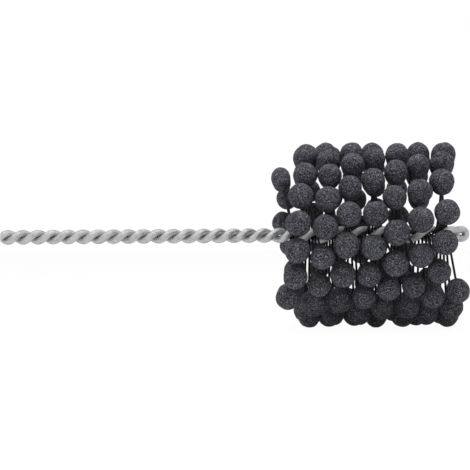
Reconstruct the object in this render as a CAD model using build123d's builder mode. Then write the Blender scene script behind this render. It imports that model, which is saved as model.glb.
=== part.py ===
from build123d import *
import math
import os

# Flexible ball hone for finishing bores. One length of steel wire is folded in half at the tip
# and twisted left-handed into a two-strand stem. In the head, straight nylon filaments are
# nipped between the strands. Each one carries a moulded abrasive ball at both of its ends, so
# the balls lie in a two-start helix around the stem.
# X runs along the stem from its shank end to the folded tip, and Z is up. Angles around the
# stem start at -Y and turn towards +Z. All lengths are in millimetres, angles in degrees.

os.makedirs("parts", exist_ok=True)

# Wire and stem
wire_diameter = 3.175
overall_length = 203.2
shank_lead = 13.07
lead_change_before_head = 1.09
lead_change_half = 2.5
angle_at_change = -69.0
strand_gap = 0.02
nip_gap = 0.02
opening_length = 6.1
open_before_head = 0.9
closing_after_head = 0.8
closed_before_fold = 0.3
bight_radius = 1.9
untwist_length = 5.8
end_flat_diameter = 4.4
end_chamfer = 1.3

# Filaments
filament_diameter = 1.0
root_bend_radius = 14.0
bend_ring_radius = 8.5

# Balls
ball_diameter = 10.6
ball_variation = 0.04
ball_scatter = 0.5
ball_ring_radius = 34.5
turn_spacing = 0.915
neck_length = 2.1
neck_wall = 0.33
neck_angle = 25.0
bore_past_centre = 1.6
bore_clearance = 0.02
bore_end_gap = 0.05
ball_gap = 0.25
lean_limit = 45.0
line_count = 16

# Between neighbours along the helix the balls' centres are this many ball diameters apart. The
# spacing isn't even: each stretch of the helix has its number of filaments and their spacing.
stretch_counts = (5, 3, 8, 3, 2, 4, 3, 4, 3, 5, 4, 4, 3, 2, 4)
spacing_ratios = (1.08, 1.48, 1.135, 1.33, 1.18, 1.34, 1.19, 1.51, 1.20, 1.32, 1.32, 1.42, 1.18, 1.31, 1.06)

wire_radius = wire_diameter / 2
filament_radius = filament_diameter / 2
shank_strand_radius = wire_radius + strand_gap / 2
head_strand_radius = wire_radius + filament_radius + nip_gap
bight_centre = overall_length - bight_radius - wire_radius
untwist_from = bight_centre - untwist_length
# Two filaments half a turn of the helix apart are just under a ball apart along the stem. The
# last one stands where the strands begin to untwist, and the head is as long as its balls need.
head_lead = 2 * turn_spacing * ball_diameter
filament_count = 1 + sum(stretch_counts)
ball_angle = math.degrees(ball_diameter / ball_ring_radius)
helix_run = sum(count * ratio for count, ratio in zip(stretch_counts, spacing_ratios))
head_length = head_lead / 360 * ball_angle * helix_run
first_filament_at = untwist_from - head_length
lead_change_at = first_filament_at - lead_change_before_head
shank_rate = 360 / shank_lead
head_rate = 360 / head_lead
line_step = 360 / line_count
outer_run = ball_ring_radius - bend_ring_radius

# Balls that lie furthest off the helix: filament, end (0 or 1), and how far the ball leans
# along the stem and around it. The ones at the two ends of the head stray the most.
STRAYS = {
    (0, 0): (-2.2, 1.6),
    (0, 1): (-3.6, 2.8),
    (1, 1): (-1.4, 0.8),
    (2, 1): (-4.6, -1.0),
    (3, 0): (1.2, 0.0),
    (4, 0): (2.2, -0.8),
    (5, 0): (0.8, -1.0),
    (29, 1): (-1.6, 0.0),
    (30, 1): (-2.2, 0.0),
    (34, 0): (1.7, -0.8),
    (36, 0): (-1.6, 0.0),
    (39, 0): (-1.8, 0.0),
    (43, 1): (1.4, 0.0),
    (42, 1): (1.4, 0.0),
    (46, 1): (-1.4, 0.0),
    (51, 0): (-1.0, 0.0),
    (52, 0): (-3.2, 0.0),
    (53, 0): (-1.6, -0.8),
    (56, 1): (-0.6, 0.9),
    (57, 1): (0.4, -0.4),
}


def smooth(x, low, high):
    t = min(max((x - low) / (high - low), 0.0), 1.0)
    return t * t * (3 - 2 * t)


def twist(x):
    """The stem's angle at x: the direction in which a filament would cross it there."""
    if x > untwist_from:
        past = min(x, bight_centre) - untwist_from
        eased = past - past * past / (2 * untwist_length)
        return angle_at_change + head_rate * (untwist_from - lead_change_at + eased)
    d = x - lead_change_at
    if d <= -lead_change_half:
        return angle_at_change + shank_rate * d
    if d >= lead_change_half:
        return angle_at_change + head_rate * d
    mean = (shank_rate + head_rate) / 2
    turn = (head_rate - shank_rate) * (d * d + lead_change_half**2) / (4 * lead_change_half)
    return angle_at_change + mean * d + turn


def strand_radius(x):
    """How far each strand's centre is from the stem's axis."""
    open_at = first_filament_at - open_before_head
    opening = smooth(x, open_at - opening_length, open_at)
    closing = smooth(x, untwist_from + closing_after_head, bight_centre - closed_before_fold)
    r = shank_strand_radius + (head_strand_radius - shank_strand_radius) * opening
    return r + (bight_radius - r) * closing


def station(n):
    """Where filament n crosses the stem."""
    turned = 0.0
    first = 0
    for count, ratio in zip(stretch_counts, spacing_ratios):
        taken = min(n - first, count)
        turned += taken * ratio * ball_angle
        first += count
        if n <= first:
            break
    return first_filament_at + turned / head_rate


def around(x, r, angle, side=0.0):
    """A point at r from the stem's axis in the direction of an angle, and side beyond it."""
    c, s = math.cos(math.radians(angle)), math.sin(math.radians(angle))
    return Vector(x, -r * c + side * s, r * s + side * c)


class Ball:
    """One abrasive ball on one end of a filament."""

    def __init__(self, n, end):
        self.n = n
        self.at = station(n)
        self.angle = twist(self.at) + 180 * end
        self.c = math.cos(math.radians(self.angle))
        self.s = math.sin(math.radians(self.angle))
        self.line = round(self.angle / line_step) % line_count
        self.radius = ball_diameter / 2 * (1 + ball_variation * math.sin(4.7 * n + 0.9 * end))
        lean = STRAYS.get((n, end), (0.0, 0.0))
        self.along = lean[0] + ball_scatter * math.sin(2.7 * n + 1.9 * end)
        self.side = lean[1] + ball_scatter * math.sin(1.7 * n + 4.1 * end)

    def place(self):
        r = bend_ring_radius + math.sqrt(outer_run**2 - self.along**2 - self.side**2)
        return self.at + self.along, -r * self.c + self.side * self.s, r * self.s + self.side * self.c

    def root(self):
        return around(self.at, bend_ring_radius, self.angle)

    def centre(self):
        return Vector(*self.place())

    def outwards(self):
        return (self.centre() - self.root()).normalized()


def settle(balls):
    """Lean the balls apart until none touches another, at rest and at both ends of the lean."""
    pivots = [around(0, bend_ring_radius, line * line_step) for line in range(line_count)]
    pivots = [(pivot.Y, pivot.Z) for pivot in pivots]
    leans = (0, lean_limit / 2, -lean_limit / 2, lean_limit, -lean_limit)
    turns = [(math.cos(math.radians(lean)), math.sin(math.radians(lean))) for lean in leans]
    reach = 1.7 * ball_diameter
    places = [ball.place() for ball in balls]
    near = []
    for i, place in enumerate(places):
        near += [(i, k) for k in range(i) if math.dist(place, places[k]) < reach]
    for turn in range(400):
        leaned = []
        for ball in balls:
            x, y, z = ball.place()
            py, pz = pivots[ball.line]
            y -= py
            z -= pz
            leaned.append([(x, py + c * y - s * z, pz + s * y + c * z) for c, s in turns])
        moved = 0.0
        for i, k in near:
            a, b = balls[i], balls[k]
            need = a.radius + b.radius + ball_gap
            worst = min(map(math.dist, leaned[i], leaned[k]))
            if worst >= need:
                continue
            pa, pb = leaned[i][0], leaned[k][0]
            apart = math.dist(pa, pb)
            push = min(need - worst, 0.5) * 0.3 / apart
            moved = max(moved, need - worst)
            for ball, sign in ((a, 1), (b, -1)):
                ball.along += sign * push * (pa[0] - pb[0])
                ball.side += sign * push * ((pa[1] - pb[1]) * ball.s + (pa[2] - pb[2]) * ball.c)
        if moved < 0.01:
            return


# The wire runs from one shank end along the first strand to the fold and back along the
# second. It starts beyond the shank end, where both ends are then ground off together. Each
# span of the path is about a quarter turn, and meets the next one in a common tangent.
run_out = 1.2
span_count = round((bight_centre + run_out) / (shank_lead / 4))
cuts = [bight_centre - (bight_centre + run_out) * i / span_count for i in range(span_count, -1, -1)]


def strand(x, side):
    return around(x, strand_radius(x), twist(x) + side)


def heading(x, side):
    return (strand(min(x + 0.001, bight_centre), side) - strand(x - 0.001, side)).normalized()


forth = []
back = []
for start, end in zip(cuts, cuts[1:]):
    marks = [start + (end - start) * i / 4 for i in range(5)]
    forth.append(Spline([strand(x, 90) for x in marks], tangents=(heading(start, 90), heading(end, 90))))
    marks.reverse()
    back.append(Spline([strand(x, -90) for x in marks], tangents=(-heading(end, -90), -heading(start, -90))))
back.reverse()
tip = Vector(bight_centre + bight_radius, 0, 0)
fold = ThreePointArc(strand(bight_centre, 90), tip, strand(bight_centre, -90))
stem_path = Wire([*forth, fold, *back])

with BuildPart() as stem_wire:
    with BuildSketch(Plane(origin=stem_path @ 0, z_dir=stem_path % 0)):
        Circle(wire_radius)
    sweep(path=stem_path, is_frenet=True)
    grinding_radius = shank_strand_radius + wire_radius + 1
    with BuildSketch(Plane.XY) as ground_off:
        with BuildLine():
            flat = end_flat_diameter / 2
            Polyline(
                (-run_out - 2 * wire_diameter, 0),
                (0, 0),
                (0, flat),
                (end_chamfer, shank_strand_radius + wire_radius),
                (end_chamfer, grinding_radius),
                (-run_out - 2 * wire_diameter, grinding_radius),
                close=True,
            )
        make_face()
    revolve(axis=Axis.X, mode=Mode.SUBTRACT)
stem_wire.part.label = "stem_wire"
export_step(stem_wire.part, "parts/stem_wire.step")

all_balls = [Ball(n, end) for n in range(filament_count) for end in (0, 1)]
settle(all_balls)
pairs = [(all_balls[2 * n], all_balls[2 * n + 1]) for n in range(filament_count)]

# Every filament ends inside its two balls and bends a little where it leaves the nip.
for group in range(line_count // 2):
    with BuildPart() as filaments:
        for near_ball, far_ball in pairs:
            if near_ball.line % (line_count // 2) != group:
                continue
            inside = bore_past_centre - bore_end_gap
            points = [near_ball.centre() + near_ball.outwards() * inside]
            for ball in (near_ball, far_ball):
                straight = near_ball.root() - far_ball.root()
                if straight.get_angle(ball.outwards()) % 180 > 0.01:
                    points.append(ball.root())
            points.append(far_ball.centre() + far_ball.outwards() * inside)
            with BuildLine() as filament_path:
                FilletPolyline(*points, radius=root_bend_radius)
            with BuildSketch(Plane(origin=filament_path.line @ 0, z_dir=filament_path.line % 0)):
                Circle(filament_radius)
            sweep(path=filament_path.line)
    name = f"filaments_{group + 1:02d}"
    filaments.part.label = name
    export_step(filaments.part, f"parts/{name}.step")

# A ball is round, with a short hollow-sided neck that runs out to the filament, and a blind
# bore that the filament was moulded into.
bore_radius = filament_radius + bore_clearance
for line in range(line_count):
    with BuildPart() as line_balls:
        for ball in all_balls:
            if ball.line != line:
                continue
            out = ball.outwards()
            r = ball.radius
            neck = math.radians(neck_angle)
            neck_start = (r * math.cos(neck), r * math.sin(neck))
            neck_end = (r + neck_length, bore_radius + neck_wall)
            sag = Vector(neck_start[0] * 0.55 + neck_end[0] * 0.45, neck_start[1] * 0.32 + neck_end[1] * 0.68)
            with BuildSketch(Plane(origin=ball.centre(), x_dir=-out, z_dir=out.cross(Vector(1, 0, 0)))):
                with BuildLine():
                    ThreePointArc((-r, 0), (0, r), neck_start)
                    Spline(neck_start, sag, neck_end)
                    Polyline(
                        neck_end,
                        (neck_end[0], bore_radius),
                        (-bore_past_centre, bore_radius),
                        (-bore_past_centre, 0),
                        (-r, 0),
                    )
                make_face()
            revolve(axis=Axis(ball.centre(), out))
    name = f"balls_{line + 1:02d}"
    line_balls.part.label = name
    export_step(line_balls.part, f"parts/{name}.step")
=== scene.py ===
import itertools
import math

import bmesh
import bpy
import numpy as np
from mathutils import Matrix, Vector


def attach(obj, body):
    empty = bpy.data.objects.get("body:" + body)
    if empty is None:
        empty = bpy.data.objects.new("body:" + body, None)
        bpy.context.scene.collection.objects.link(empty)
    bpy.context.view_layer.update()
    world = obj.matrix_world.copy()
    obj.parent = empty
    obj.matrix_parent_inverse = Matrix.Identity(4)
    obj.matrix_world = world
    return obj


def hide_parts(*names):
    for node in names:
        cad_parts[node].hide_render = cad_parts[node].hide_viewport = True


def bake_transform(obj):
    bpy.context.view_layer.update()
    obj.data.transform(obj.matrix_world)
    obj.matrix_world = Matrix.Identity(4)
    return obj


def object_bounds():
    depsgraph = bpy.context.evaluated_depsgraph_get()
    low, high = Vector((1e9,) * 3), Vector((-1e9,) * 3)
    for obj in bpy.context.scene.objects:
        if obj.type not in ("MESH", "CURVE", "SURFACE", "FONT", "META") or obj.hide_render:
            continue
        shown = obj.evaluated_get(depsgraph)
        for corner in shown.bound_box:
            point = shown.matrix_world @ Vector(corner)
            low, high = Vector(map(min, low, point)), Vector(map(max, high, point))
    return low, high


# The hone as it is photographed: a twisted, galvanised stem, black nylon filaments and balls of
# bonded abrasive grit. Lengths are in metres, in the frame of the CAD model: X along the stem
# from the shank end to the folded tip, Z up. Angles start at -Y and turn towards +Z.
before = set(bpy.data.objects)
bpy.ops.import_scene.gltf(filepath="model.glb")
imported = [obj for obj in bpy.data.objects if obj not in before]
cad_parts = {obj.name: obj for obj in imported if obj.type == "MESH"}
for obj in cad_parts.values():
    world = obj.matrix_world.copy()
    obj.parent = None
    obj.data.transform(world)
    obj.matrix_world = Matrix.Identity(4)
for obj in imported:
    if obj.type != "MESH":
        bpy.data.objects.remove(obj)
cad_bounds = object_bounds()

MM = 0.001

# Stem, as in the CAD source
WIRE_R = 0.0031750 / 2
LENGTH = 0.2032
SHANK_LEAD = 0.01307
LEAD_CHANGE_HALF = 0.0025
LEAD_CHANGE_BEFORE_HEAD = 0.00109
ANGLE_AT_CHANGE = -69.0
FILAMENT_R = 0.0005
BIGHT_R = 0.0019
UNTWIST = 0.0058
END_FLAT_R = 0.0022
END_CHAMFER = 0.0013
STRAND_GAP_HALF = 0.00001
NIP_GAP = 0.00002
SHANK_STRAND_R = WIRE_R + STRAND_GAP_HALF
HEAD_STRAND_R = WIRE_R + FILAMENT_R + NIP_GAP
BIGHT_AT = LENGTH - BIGHT_R - WIRE_R
BALL_DIAMETER = 0.0106
BALL_RING_R = 0.0345
PITCH_RATIO = 0.915
HELIX_RUN = 71.8  # from the first filament to the last along the balls' helix, in ball diameters
HEAD_LEAD = 2 * PITCH_RATIO * BALL_DIAMETER
LAST_FILAMENT = BIGHT_AT - UNTWIST
FIRST_FILAMENT = LAST_FILAMENT - HEAD_LEAD * HELIX_RUN * BALL_DIAMETER / BALL_RING_R / (2 * math.pi)
LEAD_CHANGE_AT = FIRST_FILAMENT - LEAD_CHANGE_BEFORE_HEAD
OPENING = (FIRST_FILAMENT - 7 * MM, FIRST_FILAMENT - 0.9 * MM)  # the strands part along here

# Stem, at the tip: the twist dies out after the last filament, the strands close, and the eye
# of the fold opens again.
SLOWING = 0.0042
CLOSED_STRAND_R = 0.00162
CLOSING = (LAST_FILAMENT + 0.7 * MM, LAST_FILAMENT + 3.2 * MM)
EYE_OPENING = (BIGHT_AT - 2.0 * MM, BIGHT_AT)

# Mesh of the stem
STEM_SEGMENTS = 32
STEM_STEP = 0.25 * MM
PAST_SHANK_END = 1.2 * MM  # the sweep starts this far out and is ground back
BEFORE_FOLD = 0.1 * MM
FOLD_STEPS = 22
FIRST_STRAND, SECOND_STRAND = 90, -90  # degrees from the filaments

# Balls
LINES = 16
OUTER_RUN = 0.026  # from a filament's bend to the centre of its ball
NECK_LENGTH = 0.0021
NECK_TIP_R = 0.00085
NECK_ANGLE = math.radians(25)
ON_SPHERE_WITHIN = 0.00002
AT_TIP_WITHIN = 0.00005
BALL_SHAPES = 12
SEED = 7
# They are egg-shaped: slimmer than a sphere across the filament, drawn out and tapered towards
# the neck, and a little fuller on the side of the photograph.
ACROSS = 0.95
FULLER_IN_FRONT = 0.05
UNEVEN = 0.02
ALONG = 1.06
DRAWN_OUT = (0.18, 0.38)
MOST_TAPER = 0.16
# The ball that stands out of the head towards the shank is slimmer and longer.
STRAY_BEFORE = 0.1225
STRAY_ACROSS = 0.86
STRAY_DRAWN_OUT = 0.4

# Filaments
FILAMENT_SEGMENTS = 12
STRAIGHT_POINTS, BEND_POINTS, OUTER_POINTS = 8, 9, 12
BEND_HALF = 3.2 * MM
END_IN_BALL = 0.6  # a filament ends at this share of the ball's radius
BOW = (0.05 * MM, 0.3 * MM)

# Studio and camera
WORLD_DIFFUSE = 0.55  # the world's strength as a light, next to 1 where it is seen
FLOOR_SEEN_WHITE = 0.96
FLOOR_BELOW = 0.0002
FLOOR_HALF = 3
MIDDLE = (0.13, 0.0, 0.0)
OVERHEAD_AT = (0.10, -0.08, 0.75)
IMAGE_WIDTH = 470
PIXEL = 0.000434
LOOKED_AT = (234 * PIXEL, 0, 0.7 * PIXEL)
SENSOR = 36
DISTANCE = 0.60
ROLL = math.radians(0.45)


def smooth(x, low, high):
    t = min(max((x - low) / (high - low), 0.0), 1.0)
    return t * t * (3 - 2 * t)


def twist(x):
    """The angle at which a filament crosses the stem at x, in degrees."""
    shank, head = 360 / SHANK_LEAD, 360 / HEAD_LEAD
    if x > LAST_FILAMENT:
        past = min(x - LAST_FILAMENT, SLOWING)
        slowed = past - past * past / (2 * SLOWING)
        return ANGLE_AT_CHANGE + head * (LAST_FILAMENT - LEAD_CHANGE_AT + slowed)
    d, half = x - LEAD_CHANGE_AT, LEAD_CHANGE_HALF
    if d <= -half:
        return ANGLE_AT_CHANGE + shank * d
    if d >= half:
        return ANGLE_AT_CHANGE + head * d
    changed = (head - shank) * (d * d + half * half) / (4 * half)
    return ANGLE_AT_CHANGE + (shank + head) / 2 * d + changed


def strand_radius(x):
    r = SHANK_STRAND_R + (HEAD_STRAND_R - SHANK_STRAND_R) * smooth(x, *OPENING)
    r += (CLOSED_STRAND_R - r) * smooth(x, *CLOSING)
    return r + (BIGHT_R - r) * smooth(x, *EYE_OPENING)


def around(x, r, angle):
    a = math.radians(angle)
    return np.array([x, -r * math.cos(a), r * math.sin(a)])


def unit(v):
    v = np.asarray(v, float)
    return v / np.linalg.norm(v)


def unit_rows(a):
    return a / np.maximum(np.linalg.norm(a, axis=1), 1e-9)[:, None]


# Meshes


def new_mesh(name, points, faces, material, smooth_faces=True):
    mesh = bpy.data.meshes.new(name)
    mesh.from_pydata([tuple(p) for p in points], [], faces)
    mesh.validate()
    mesh.materials.append(material)
    mesh.polygons.foreach_set("use_smooth", [smooth_faces] * len(mesh.polygons))
    obj = bpy.data.objects.new(name, mesh)
    bpy.context.scene.collection.objects.link(obj)
    return obj


def point_vectors(obj, name, values):
    attribute = obj.data.attributes.new(name, "FLOAT_VECTOR", "POINT")
    attribute.data.foreach_set("vector", np.asarray(values, np.float32).ravel())


def frames_along(points):
    """Two sides at each point of a path, turned as little as possible."""
    ahead = np.gradient(points, axis=0)
    ahead /= np.linalg.norm(ahead, axis=1)[:, None]
    side = np.cross(ahead[0], [0.0, 0.0, 1.0])
    if np.linalg.norm(side) < 0.1:
        side = np.cross(ahead[0], [0.0, 1.0, 0.0])
    side = unit(side)
    sides = []
    for direction in ahead:
        side = unit(side - direction * np.dot(side, direction))
        sides.append(side)
    sides = np.array(sides)
    return sides, np.cross(ahead, sides)


def tube(points, radius, segments):
    """Points, faces and (length, cos, sin) of a closed tube along a path."""
    points = np.asarray(points, float)
    side, up = frames_along(points)
    n = len(points)
    turn = np.linspace(0, 2 * math.pi, segments, endpoint=False)
    cos, sin = np.cos(turn), np.sin(turn)
    ring = cos[None, :, None] * side[:, None, :] + sin[None, :, None] * up[:, None, :]
    verts = points[:, None, :] + ring * radius
    steps = np.linalg.norm(np.diff(points, axis=0), axis=1)
    length = np.concatenate([[0], np.cumsum(steps)])
    grid = np.stack(np.broadcast_arrays(length[:, None], cos[None, :], sin[None, :]), axis=-1)
    faces = []
    for i in range(n - 1):
        near, far = i * segments, (i + 1) * segments
        for j in range(segments):
            k = (j + 1) % segments
            faces.append((near + j, near + k, far + k, far + j))
    faces.append(tuple(range(segments - 1, -1, -1)))
    faces.append(tuple((n - 1) * segments + j for j in range(segments)))
    return verts.reshape(-1, 3), faces, grid.reshape(-1, 3)


# Materials


def adder(tree):
    """A function that adds a node to the tree, with its inputs set or linked."""

    def add(kind, inputs=None, **settings):
        made = tree.nodes.new("ShaderNode" + kind)
        for key, value in settings.items():
            setattr(made, key, value)
        for key, value in (inputs or {}).items():
            if isinstance(value, bpy.types.NodeSocket):
                tree.links.new(value, made.inputs[key])
            else:
                made.inputs[key].default_value = value
        return made

    return add


def new_material(name):
    m = bpy.data.materials.new(name)
    m.use_nodes = True
    m.node_tree.nodes.clear()
    return m, adder(m.node_tree)


def finish_material(add, surface):
    add("OutputMaterial", {"Surface": surface})


def ramp(add, factor, stops):
    made = add("ValToRGB", {"Fac": factor})
    elements = made.color_ramp.elements
    while len(elements) < len(stops):
        elements.new(0.5)
    for element, (at, colour) in zip(elements, stops):
        element.position = at
        element.color = (*colour, 1.0)
    return made.outputs["Color"]


def multiplied(add, a, b):
    mixed = add("Mix", {"Factor": 1.0, "A": a, "B": b}, data_type="RGBA", blend_type="MULTIPLY")
    return mixed.outputs[2]  # the colour among the node's results


def noise(add, vector, scale, detail, roughness=0.5):
    inputs = {"Vector": vector, "Scale": scale, "Detail": detail, "Roughness": roughness}
    return add("TexNoise", inputs).outputs["Fac"]


def grey(v, tint=(1.0, 1.0, 1.0)):
    return tuple(v * t for t in tint)


def grit_material():
    """Silicon carbide grain in a dark binder: a matt grey-black with lighter and darker grains."""
    m, add = new_material("abrasive_grit")
    place = add("TexCoord").outputs["Object"]
    tint = (0.945, 0.95, 1.12)
    broad = noise(add, place, 170.0, 3.0, 0.55)
    binder = ramp(add, broad, [(0.3, grey(0.040, tint)), (0.7, grey(0.061, tint))])
    cells = add("TexVoronoi", {"Vector": place, "Scale": 3300.0, "Randomness": 1.0})
    tone = add("SeparateColor", {"Color": cells.outputs["Color"]}).outputs["Red"]
    tones = [(0.0, 0.12), (0.3, 0.53), (0.7, 1.15), (0.88, 2.2), (1.0, 4.2)]
    grains = ramp(add, tone, [(at, grey(v)) for at, v in tones])
    fine = noise(add, place, 2300.0, 4.0, 0.7)
    height = add("Math", {0: fine, 1: cells.outputs["Distance"]}, operation="SUBTRACT").outputs[0]
    bump = add("Bump", {"Strength": 0.55, "Distance": 0.00022, "Height": height})
    shader = add(
        "BsdfPrincipled",
        {
            "Base Color": multiplied(add, binder, grains),
            "Roughness": 0.82,
            "Specular IOR Level": 0.14,
            "Normal": bump.outputs["Normal"],
        },
    )
    finish_material(add, shader.outputs["BSDF"])
    return m


def wire_material():
    """Drawn, galvanised wire: streaks along the wire and dull patches."""
    m, add = new_material("galvanised_wire")
    along = add("Attribute", attribute_name="along_wire").outputs["Vector"]
    place = add("TexCoord").outputs["Object"]
    stretched = add("Mapping", {"Vector": along, "Scale": (60.0, 7.0, 7.0)}).outputs[0]
    streak = noise(add, stretched, 1.0, 5.0, 0.65)
    patches = noise(add, place, 420.0, 4.0, 0.6)
    zinc = ramp(
        add,
        streak,
        [(0.28, (0.375, 0.378, 0.386)), (0.5, (0.48, 0.483, 0.493)), (0.72, (0.60, 0.603, 0.612))],
    )
    dull = ramp(add, patches, [(0.32, grey(0.72)), (0.55, grey(1.0))])
    rough = add(
        "MapRange",
        {"Value": patches, "From Min": 0.3, "From Max": 0.7, "To Min": 0.24, "To Max": 0.44},
    )
    bump = add("Bump", {"Strength": 0.2, "Distance": 0.00008, "Height": streak})
    shader = add(
        "BsdfPrincipled",
        {
            "Base Color": multiplied(add, zinc, dull),
            "Metallic": 0.68,
            "Specular Tint": (0.12, 0.125, 0.14, 1.0),
            "Roughness": rough.outputs[0],
            "Normal": bump.outputs["Normal"],
        },
    )
    finish_material(add, shader.outputs["BSDF"])
    return m


def nylon_material():
    m, add = new_material("black_nylon")
    place = add("TexCoord").outputs["Object"]
    mottle = noise(add, place, 900.0, 2.0)
    shader = add(
        "BsdfPrincipled",
        {
            "Base Color": ramp(add, mottle, [(0.3, (0.004, 0.004, 0.005)), (0.7, (0.010, 0.010, 0.011))]),
            "Roughness": 0.5,
            "Specular IOR Level": 0.1,
        },
    )
    finish_material(add, shader.outputs["BSDF"])
    return m


GRIT = grit_material()
WIRE = wire_material()
NYLON = nylon_material()


# Stem: one wire from one shank end along the first strand, round the fold and back.


def strand(x, side):
    return around(x, strand_radius(x), twist(x) + side)


def ground(points):
    """The two wire ends are ground off flat together, with a chamfer around them."""
    points = points.copy()
    near = points[:, 0] < END_CHAMFER
    r = np.hypot(points[:, 1], points[:, 2])
    rise = (SHANK_STRAND_R + WIRE_R - END_FLAT_R) * np.clip(points[:, 0], 0, None) / END_CHAMFER
    allowed = END_FLAT_R + rise
    scale = np.where(near & (r > allowed), allowed / np.maximum(r, 1e-9), 1.0)
    points[:, 1] *= scale
    points[:, 2] *= scale
    points[:, 0] = np.maximum(points[:, 0], 0.0)
    return points


xs = np.arange(-PAST_SHANK_END, BIGHT_AT - BEFORE_FOLD, STEM_STEP)
path = [strand(x, FIRST_STRAND) for x in xs]
fold_centre = np.array([BIGHT_AT, 0, 0])
fold_from = unit(strand(BIGHT_AT, FIRST_STRAND) - fold_centre)
for bend in np.linspace(0, math.pi, FOLD_STEPS):
    past = np.array([BIGHT_AT + BIGHT_R * math.sin(bend), 0, 0])
    path.append(past + fold_from * BIGHT_R * math.cos(bend))
path += [strand(x, SECOND_STRAND) for x in xs[::-1]]
verts, faces, grid = tube(path, WIRE_R, STEM_SEGMENTS)
stem = new_mesh("twisted_wire_stem", ground(verts), faces, WIRE)
point_vectors(stem, "along_wire", grid)
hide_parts("stem_wire")
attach(stem, "stem")


# Balls: each one's place, size and direction are read from its solid.


def components(obj):
    """The separate pieces of a CAD node's mesh, each as an array of its points."""
    mesh = obj.data
    co = np.empty(len(mesh.vertices) * 3)
    mesh.vertices.foreach_get("co", co)
    co = co.reshape(-1, 3)
    _, same = np.unique(np.round(co, 7), axis=0, return_inverse=True)
    same = same.reshape(-1)
    label = np.arange(same.max() + 1)
    pairs = same[np.array([tuple(e.vertices) for e in mesh.edges])]
    while True:
        low = np.minimum(label[pairs[:, 0]], label[pairs[:, 1]])
        before = label.copy()
        np.minimum.at(label, pairs[:, 0], low)
        np.minimum.at(label, pairs[:, 1], low)
        label = label[label]
        if (label == before).all():
            break
    label = label[same]
    return [co[label == k] for k in np.unique(label)]


def fitted_ball(points):
    """Centre, radius and the direction of the neck of one ball."""
    chosen = points
    for _ in range(4):
        a = np.hstack([2 * chosen, np.ones((len(chosen), 1))])
        solved = np.linalg.lstsq(a, (chosen**2).sum(1), rcond=None)[0]
        centre = solved[:3]
        radius = math.sqrt(solved[3] + (centre**2).sum())
        off = np.abs(np.linalg.norm(points - centre, axis=1) - radius)
        chosen = points[off < max(np.percentile(off, 60), ON_SPHERE_WITHIN)]
    distance = np.linalg.norm(points - centre, axis=1)
    tip = points[distance > distance.max() - AT_TIP_WITHIN]
    return centre, radius, unit(tip.mean(0) - centre)


def lattice_noise(points, scale, seed):
    """Smooth value noise between -1 and 1, from a hash of the lattice's corners."""
    p = points * scale + seed * 17.3
    cell = np.floor(p).astype(np.int64)
    f = p - cell
    f = f * f * (3 - 2 * f)
    total = np.zeros(len(p))
    for corner in itertools.product((0, 1), repeat=3):
        x, y, z = (cell + corner).T
        h = x * 73856093 ^ y * 19349663 ^ z * 83492791 ^ seed * 2654435
        h = (h ^ (h >> 13)) * 1274126177 & 0x7FFFFFFF
        value = ((h ^ (h >> 16)) % 100003) / 50001.5 - 1
        wx, wy, wz = np.where(np.array(corner, bool), f, 1 - f).T
        total += wx * wy * wz * value
    return total


def icosphere(subdivisions):
    bm = bmesh.new()
    bmesh.ops.create_icosphere(bm, subdivisions=subdivisions, radius=1.0)
    points = np.array([v.co[:] for v in bm.verts])
    faces = [tuple(v.index for v in f.verts) for f in bm.faces]
    bm.free()
    return points, faces


SPHERE, SPHERE_FACES = icosphere(4)


def ball_shape(seed):
    """A ball of radius 1 with its neck towards +Z, and with its own lumps and grain."""
    ball_r = BALL_DIAMETER / 2
    tip, tip_r = 1 + NECK_LENGTH / ball_r, NECK_TIP_R / ball_r
    # The points near the neck are gathered towards it.
    polar = np.arccos(np.clip(SPHERE[:, 2], -1, 1))
    reach = math.radians(55)
    gathered = np.where(polar < reach, reach * (polar / reach) ** 1.7, polar)
    turn = np.arctan2(SPHERE[:, 1], SPHERE[:, 0])
    # The neck's profile is a quadratic curve from the sphere to the tip, then a flat end.
    t = np.clip(gathered / NECK_ANGLE, 0, 1)
    start = (math.cos(NECK_ANGLE), math.sin(NECK_ANGLE))
    middle = (start[0] * 0.5 + tip * 0.5, start[1] * 0.12 + tip_r * 0.88)
    flat_end = 0.22
    s = np.clip((1 - t) / (1 - flat_end), 0, 1)
    u = (1 - s) ** 2 * start[0] + 2 * s * (1 - s) * middle[0] + s**2 * tip
    v = (1 - s) ** 2 * start[1] + 2 * s * (1 - s) * middle[1] + s**2 * tip_r
    v = np.where(t < flat_end, tip_r * t / flat_end, v)
    on_neck = gathered < NECK_ANGLE
    u = np.where(on_neck, u, np.cos(gathered))
    v = np.where(on_neck, v, np.sin(gathered))
    sideways = np.stack([np.cos(turn), np.sin(turn), 0 * u], axis=1)
    points = sideways * v[:, None]
    points[:, 2] = u
    normal = unit_rows(np.where(on_neck[:, None], sideways, points))
    lumps = 0.034 * lattice_noise(points, 1.5, seed) + 0.020 * lattice_noise(points, 3.1, seed + 11)
    grain = 0.006 * lattice_noise(points, 8.0, seed + 23) + 0.005 * lattice_noise(points, 14.0, seed + 31)
    set_in = 0.02
    quiet = np.where(on_neck, 0.25 + 0.75 * t, 1.0)
    return points + normal * ((lumps - set_in + grain) * quiet)[:, None]


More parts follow.
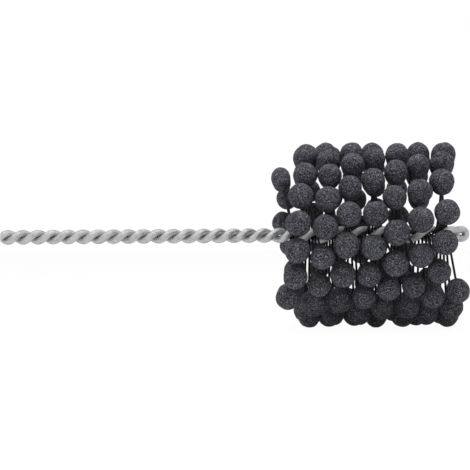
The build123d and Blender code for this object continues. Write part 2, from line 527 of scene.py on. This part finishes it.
def egg(shape, rng, front, stray):
    """A ball with its own proportions; front goes from -1 at the back of the hone to 1 in front."""
    across = ACROSS + FULLER_IN_FRONT * max(front, 0) + rng.uniform(-UNEVEN, UNEVEN)
    drawn_out = rng.uniform(*DRAWN_OUT)
    if stray:
        across *= STRAY_ACROSS
        drawn_out = STRAY_DRAWN_OUT
    towards_neck = np.clip(shape[:, 2:3], 0, None)
    body = shape * [across * rng.uniform(1 - UNEVEN, 1 + UNEVEN), across, ALONG]
    body[:, 2:3] *= 1 + drawn_out * np.clip(towards_neck * 2, 0, 1)
    body[:, :2] *= 1 - rng.uniform(0.0, MOST_TAPER) * towards_neck
    at_neck = np.clip((towards_neck - 0.6) / 0.5, 0, 1)
    return at_neck * shape + (1 - at_neck) * body


def turned(direction, spin):
    """A rotation that takes +Z to a direction, after a spin about +Z."""
    z = unit(direction)
    x = unit(np.cross([0.3, 0.5, 0.8], z))
    y = np.cross(z, x)
    c, s = math.cos(spin), math.sin(spin)
    return np.stack([c * x + s * y, -s * x + c * y, z], axis=1)


shapes = [ball_shape(seed) for seed in range(1, BALL_SHAPES + 1)]
rng = np.random.default_rng(SEED)
balls = {}
for line in range(LINES):
    name = f"balls_{line + 1:02d}"
    balls[line] = [fitted_ball(p) for p in components(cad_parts[name])]
    balls[line].sort(key=lambda ball: ball[0][0])
    verts, faces = [], []
    for centre, radius, inward in balls[line]:
        shape = shapes[int(rng.integers(BALL_SHAPES))]
        local = egg(shape, rng, inward[1], centre[0] < STRAY_BEFORE)
        turn = turned(inward, rng.uniform(0, 2 * math.pi))
        faces += [tuple(i + len(verts) * len(SPHERE) for i in f) for f in SPHERE_FACES]
        verts.append(centre + (local * radius) @ turn.T)
    piece = new_mesh(f"grit_balls_{line + 1:02d}", np.concatenate(verts), faces, GRIT)
    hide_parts(name)
    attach(piece, f"ball_line_{line + 1:02d}")


# Filaments: each half runs from the nip to its ball, and bends near the stem as its line leans.


def filament_path(centre, radius, inward):
    root = centre + inward * OUTER_RUN
    out = unit([0, root[1], root[2]])
    nip = np.array([root[0], 0, 0])
    before = root - out * BEND_HALF
    after = root - inward * BEND_HALF
    end = centre + inward * radius * END_IN_BALL
    straight = np.linspace(0, np.linalg.norm(before - nip), STRAIGHT_POINTS)
    points = [nip + out * d for d in straight[:-1]]
    for t in np.linspace(0, 1, BEND_POINTS):
        points.append((1 - t) ** 2 * before + 2 * t * (1 - t) * root + t * t * after)
    sideways = unit(np.cross(inward, rng.normal(size=3)))
    bow = rng.uniform(*BOW)
    for t in np.linspace(0, 1, OUTER_POINTS)[1:]:
        bowed = sideways * bow * math.sin(math.pi * t) * (1 - t)
        points.append(after + (end - after) * t + bowed)
    return points


for line in range(LINES):
    verts, faces, count = [], [], 0
    for ball in balls[line]:
        v, f, _ = tube(filament_path(*ball), FILAMENT_R, FILAMENT_SEGMENTS)
        faces += [tuple(i + count for i in face) for face in f]
        count += len(v)
        verts.append(v)
    piece = new_mesh(f"nylon_{line + 1:02d}", np.concatenate(verts), faces, NYLON)
    if line < LINES // 2:
        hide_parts(f"filaments_{line + 1:02d}")
    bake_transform(piece)


# Studio: a white floor and world, a soft light from above, a smaller one there that glints on
# the wire, and a little light from the front.


def seen_directly(add):
    """1 for a ray of the camera, a reflection or a transmission, else 0."""
    rays = add("LightPath").outputs
    either = add("Math", {0: rays["Is Camera Ray"], 1: rays["Is Glossy Ray"]}, operation="MAXIMUM")
    all_three = {0: either.outputs[0], 1: rays["Is Transmission Ray"]}
    return add("Math", all_three, operation="MAXIMUM").outputs[0]


def floor_material():
    """White where it is seen directly, with a little of the shadow on it."""
    m, add = new_material("white_floor")
    shader = add("BsdfPrincipled", {"Base Color": (0.95, 0.95, 0.95, 1), "Roughness": 0.9})
    white = add("Emission", {"Color": (1, 1, 1, 1), "Strength": 1.0})
    share = add("Math", {0: seen_directly(add), 1: FLOOR_SEEN_WHITE}, operation="MULTIPLY")
    mix = add("MixShader", {0: share.outputs[0], 1: shader.outputs[0], 2: white.outputs[0]})
    finish_material(add, mix.outputs[0])
    return m


floor_z = cad_bounds[0][2] - FLOOR_BELOW
corners = [(-1, -1), (1, -1), (1, 1), (-1, 1)]
floor = new_mesh(
    "floor",
    [(x * FLOOR_HALF, y * FLOOR_HALF, floor_z) for x, y in corners],
    [(0, 1, 2, 3)],
    floor_material(),
    smooth_faces=False,
)

world = bpy.data.worlds.new("studio")
bpy.context.scene.world = world
world.use_nodes = True
add_to_world = adder(world.node_tree)
strength = add_to_world(
    "MapRange",
    {"Value": seen_directly(add_to_world), "To Min": WORLD_DIFFUSE, "To Max": 1.0},
)
background = world.node_tree.nodes["Background"]
background.inputs["Color"].default_value = (1, 1, 1, 1)
world.node_tree.links.new(strength.outputs[0], background.inputs["Strength"])


def area_light(name, at, size, power):
    data = bpy.data.lights.new(name, "AREA")
    data.shape = "RECTANGLE"
    data.size, data.size_y = size
    data.energy = power
    obj = bpy.data.objects.new(name, data)
    bpy.context.scene.collection.objects.link(obj)
    obj.location = at
    obj.rotation_euler = (Vector(MIDDLE) - Vector(at)).to_track_quat("-Z", "Y").to_euler()
    return obj


overhead = area_light("overhead", OVERHEAD_AT, (0.9, 0.6), 6.0)
overhead.visible_glossy = False  # only the smaller lamp at its middle glints on the wire
area_light("overhead_glint", OVERHEAD_AT, (0.5, 0.3), 3.0)
area_light("front_left", (-0.35, -0.7, 0.35), (0.5, 0.5), 0.1)

# Camera: level, opposite the middle of the stem, with the small roll of the photograph.
camera_data = bpy.data.cameras.new("camera")
camera_data.sensor_width = SENSOR
camera_data.lens = SENSOR * DISTANCE / (IMAGE_WIDTH * PIXEL)
camera = bpy.data.objects.new("camera", camera_data)
bpy.context.scene.collection.objects.link(camera)
target = Vector(LOOKED_AT)
camera.location = target + Vector((0, -1, 0)) * DISTANCE
look = (target - camera.location).to_track_quat("-Z", "Y").to_matrix().to_4x4()
camera.matrix_world = Matrix.Translation(camera.location) @ Matrix.Rotation(ROLL, 4, "Y") @ look
bpy.context.scene.camera = camera

bpy.context.scene.view_settings.view_transform = "Standard"
